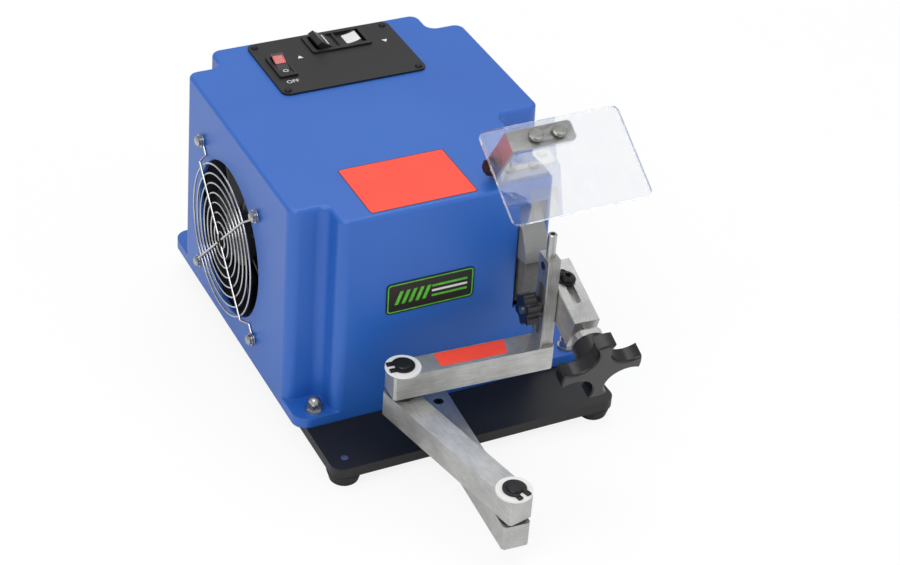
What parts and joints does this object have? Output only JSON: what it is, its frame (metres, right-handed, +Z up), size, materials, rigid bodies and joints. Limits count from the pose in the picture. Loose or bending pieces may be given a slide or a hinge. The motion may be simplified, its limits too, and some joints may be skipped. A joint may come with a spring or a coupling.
{
  "type": "bench blade grinder with folding clamp arm",
  "caption": "Bench grinder for scissor blades: moulded housing with a small wheel, wire fan guard and clear eye shield, and a screw clamp on a folding arm of square bars.",
  "frame": {"origin": "centre of the front left rubber foot, on the bench", "axes": "+Z up, +Y from the front (arm side) to the back, +X from left (fan side) to right"},
  "size_m": [0.2379, 0.4211, 0.2312],
  "materials": {
    "housing_blue": "moulded plastic, satin gloss",
    "plate_black": "black powder coat",
    "rubber_black": "matt",
    "zinc_steel": "bright zinc",
    "guard_chrome": "chromed wire",
    "fan_plastic": "moulded",
    "motor_grey": "satin paint",
    "shaft_steel": "ground",
    "wheel_grey": "fine diamond grit",
    "cover_grey": "satin paint",
    "panel_black": "satin black with printed lines",
    "switch_black": "moulded",
    "paddle_red": "lens",
    "shield_clear": "clear sheet",
    "strap_steel": "satin",
    "bolt_black": "black oxide",
    "bar_aluminium": "milled",
    "pin_dark": "black oxide",
    "washer_nylon": "white nylon",
    "knob_black": "moulded phenolic",
    "contact_brass": "plated"
  },
  "bodies": {
    "base": {"base_plate": "plate_black", "rubber_feet": "rubber_black", "foot_screws": "bolt_black", "housing": "housing_blue", "housing_studs": "zinc_steel", "stud_washers": "zinc_steel", "dome_nuts": "zinc_steel", "fan_guard": "guard_chrome", "fan_frame": "fan_plastic", "guard_screws": "zinc_steel", "motor": "motor_grey", "motor_bracket": "cover_grey", "frame_bolts": "bolt_black", "wheel_cover": "cover_grey", "control_panel": "panel_black", "panel_screws": "bolt_black", "rocker_frame": "switch_black", "direction_frame": "switch_black", "shield_bracket": "strap_steel", "bracket_screws": "zinc_steel", "shield_bolt": "bolt_black", "shield_nut": "zinc_steel", "power_inlet": "switch_black", "inlet_contacts": "contact_brass", "inlet_screws": "bolt_black", "base_pin": "pin_dark", "base_bolt": "bolt_black"},
    "wheel_set": {"motor_shaft": "shaft_steel", "wheel_flanges": "shaft_steel", "grinding_wheel": "wheel_grey", "arbor_nut": "shaft_steel"},
    "fan_set": {"fan_rotor": "fan_plastic"},
    "rocker": {"rocker_paddle": "paddle_red"},
    "direction": {"direction_paddle": "switch_black"},
    "lower_link": {"lower_arm": "bar_aluminium", "elbow_pin": "pin_dark", "elbow_washer": "washer_nylon", "elbow_clip": "pin_dark"},
    "middle_link": {"middle_arm": "bar_aluminium", "wrist_pin": "pin_dark", "wrist_washer": "washer_nylon", "wrist_clip": "pin_dark"},
    "upper_link": {"upper_arm": "bar_aluminium", "clamp_post": "bar_aluminium", "rest_rod": "shaft_steel", "rod_set_screw": "bolt_black"},
    "stud_set": {"clamp_stud": "shaft_steel"},
    "lock_knob": {"small_knob": "knob_black"},
    "clamp_set": {"clamp_body": "bar_aluminium"},
    "jaw_set": {"jaw": "bar_aluminium", "jaw_screw": "bolt_black", "guide_pins": "shaft_steel", "collar_plate": "bar_aluminium"},
    "star_set": {"star_knob": "knob_black", "clamp_spindle": "shaft_steel"},
    "shield_set": {"shield_strap": "strap_steel", "eye_shield": "shield_clear", "shield_screws": "zinc_steel"}
  },
  "joints": [
    {"name": "wheel_spin", "type": "hinge", "parent": "base", "child": "wheel_set", "pos_m": [0.1546, 0.0825, 0.1155], "axis": [1, 0, 0], "continuous": true},
    {"name": "fan_spin", "type": "hinge", "parent": "base", "child": "fan_set", "pos_m": [-0.0014, 0.1735, 0.0922], "axis": [1, 0, 0], "continuous": true},
    {"name": "power_rocker", "type": "hinge", "parent": "base", "child": "rocker", "pos_m": [0.0499, 0.242, 0.1834], "axis": [1, 0, 0], "range_deg": [-18, 0]},
    {"name": "direction_rock", "type": "hinge", "parent": "base", "child": "direction", "pos_m": [0.1031, 0.2645, 0.1834], "axis": [0, 1, 0], "range_deg": [-18, 0]},
    {"name": "lower_swing", "type": "hinge", "parent": "base", "child": "lower_link", "pos_m": [0.0741, 0.0085, 0.0295], "axis": [0, 0, 1], "range_deg": [-35, 3]},
    {"name": "middle_swing", "type": "hinge", "parent": "lower_link", "child": "middle_link", "pos_m": [0.06659, -0.11798, 0.051], "axis": [0, 0, 1], "range_deg": [-35, 1]},
    {"name": "upper_swing", "type": "hinge", "parent": "middle_link", "child": "upper_link", "pos_m": [0.04141, 0.0015, 0.0725], "axis": [0, 0, 1], "range_deg": [-50, 1]},
    {"name": "clamp_lift", "type": "slide", "parent": "upper_link", "child": "stud_set", "axis": [0, 0, 1], "range_m": [-0.0165, 0.0165]},
    {"name": "clamp_lean", "type": "hinge", "parent": "stud_set", "child": "clamp_set", "pos_m": [0.15002, -0.00321, 0.1105], "axis": [0.9983, -0.0576, 0], "range_deg": [-20, 15]},
    {"name": "lock_knob_turn", "type": "hinge", "parent": "stud_set", "child": "lock_knob", "pos_m": [0.13404, -0.00229, 0.1105], "axis": [0.9983, -0.0576, 0], "range_deg": [0, 360]},
    {"name": "jaw_slide", "type": "slide", "parent": "clamp_set", "child": "jaw_set", "axis": [0.055, 0.9547, 0.2924], "range_m": [-0.0023, 0.0025]},
    {"name": "star_knob_turn", "type": "hinge", "parent": "jaw_set", "child": "star_set", "pos_m": [0.15698, -0.05268, 0.09971], "axis": [0.055, 0.9547, 0.2924], "range_deg": [-830, 902]},
    {"name": "shield_swing", "type": "hinge", "parent": "base", "child": "shield_set", "pos_m": [0.1278, 0.0535, 0.193], "axis": [1, 0, 0], "range_deg": [-70, 10]}
  ],
  "couplings": [
    {"joint": "star_knob_turn", "follows": "jaw_slide", "rad_per_m": 6283.2}
  ]
}
